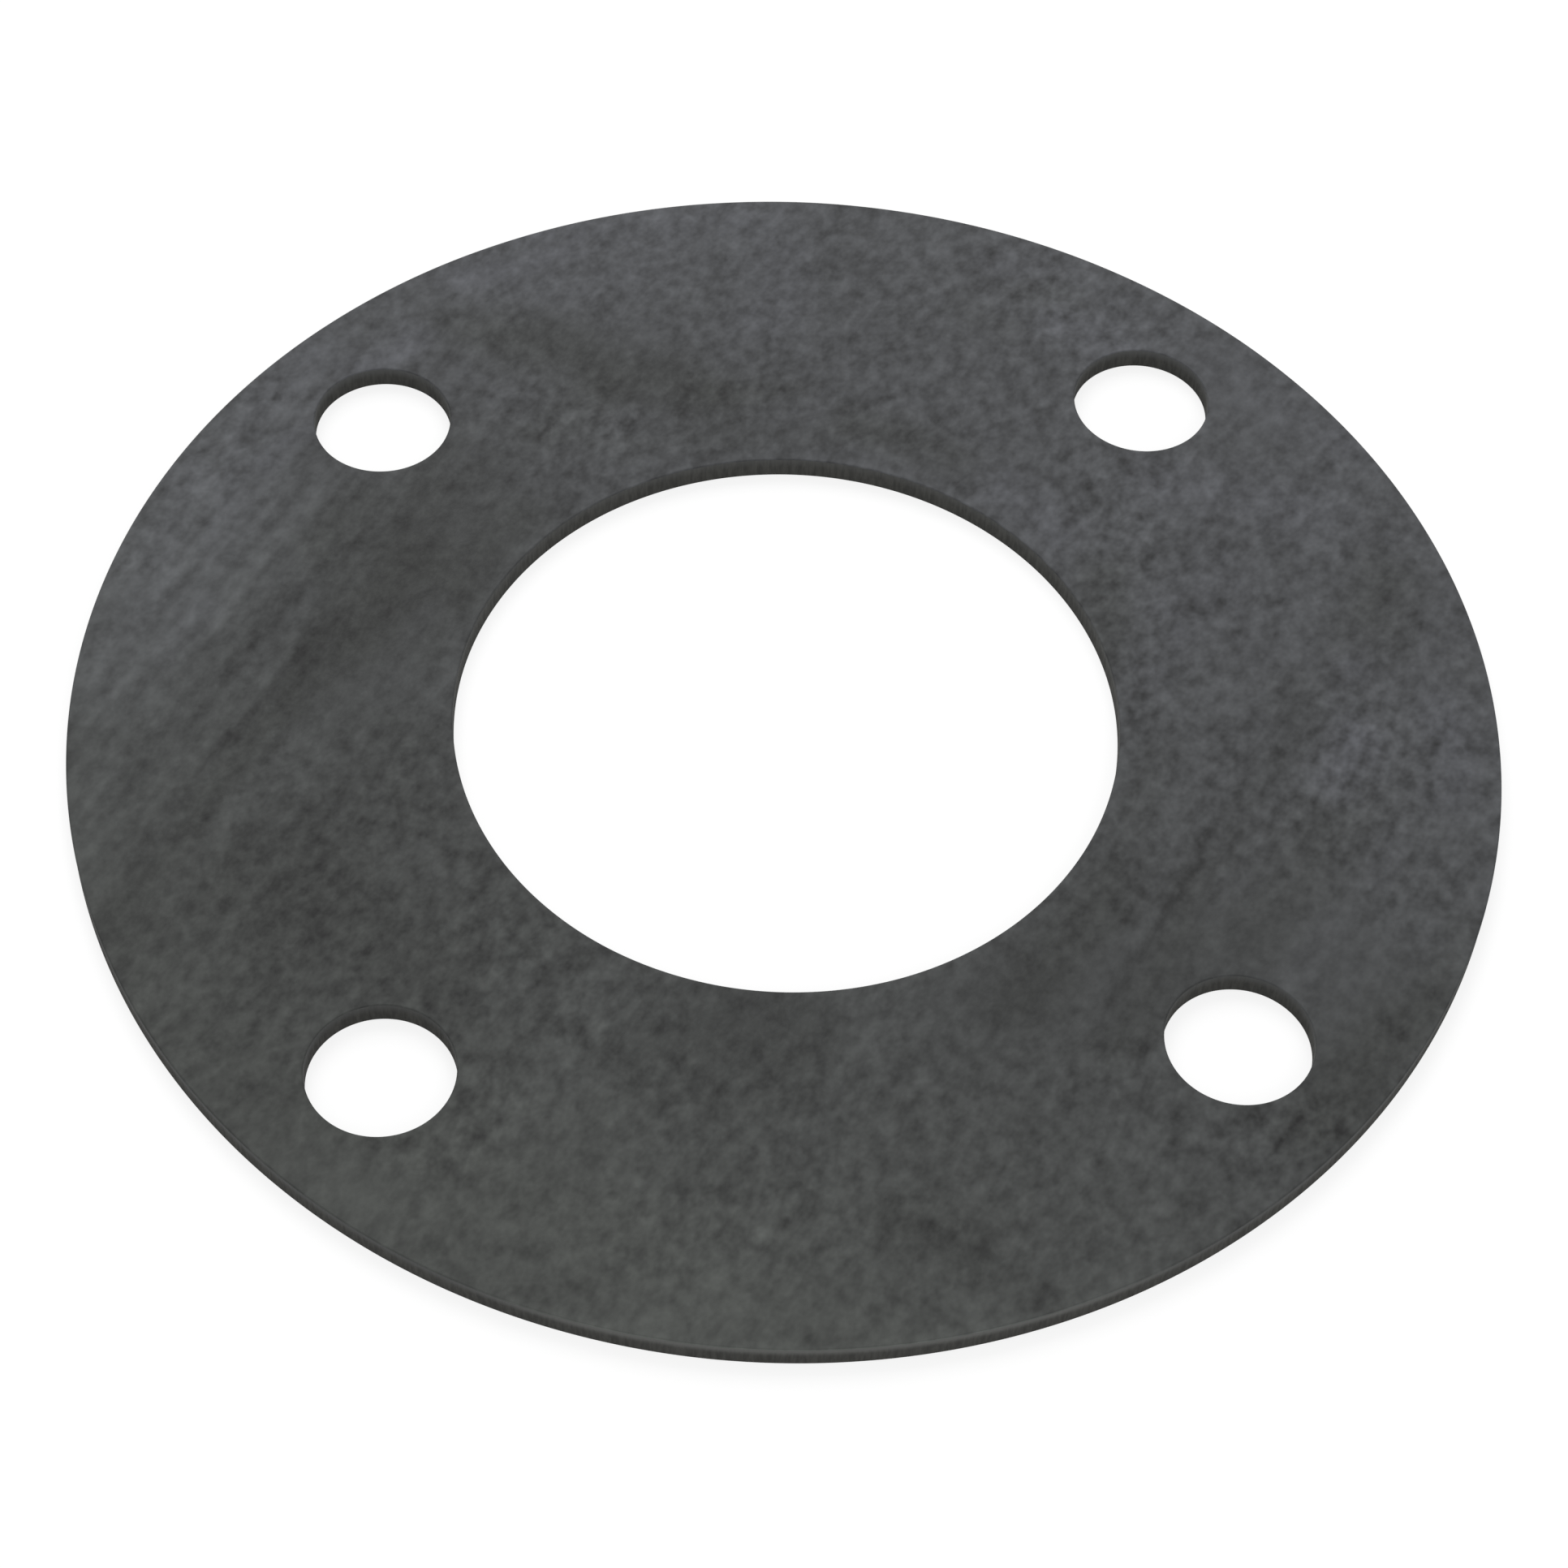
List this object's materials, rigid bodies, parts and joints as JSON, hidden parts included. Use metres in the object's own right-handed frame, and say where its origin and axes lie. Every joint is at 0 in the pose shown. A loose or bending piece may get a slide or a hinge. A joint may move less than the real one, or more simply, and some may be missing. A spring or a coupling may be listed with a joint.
{
  "type": "rubber flange gasket",
  "caption": "Flat full-face ring cut from sheet rubber, with a round pipe opening in the middle and bolt holes through the rim; it seals between two pipe flanges.",
  "frame": {"origin": "centre of the ring's lower face, the face that lies on the flange", "axes": "+Z along the pipe, out of the upper face; +X and +Y lie midway between bolt holes"},
  "size_m": [0.1905, 0.1904, 0.0032],
  "materials": {
    "sheet_rubber": "matte black sheet rubber, greyed by a fine mottled bloom"
  },
  "bodies": {
    "root": {"flange_gasket": "sheet_rubber"}
  },
  "joints": []
}
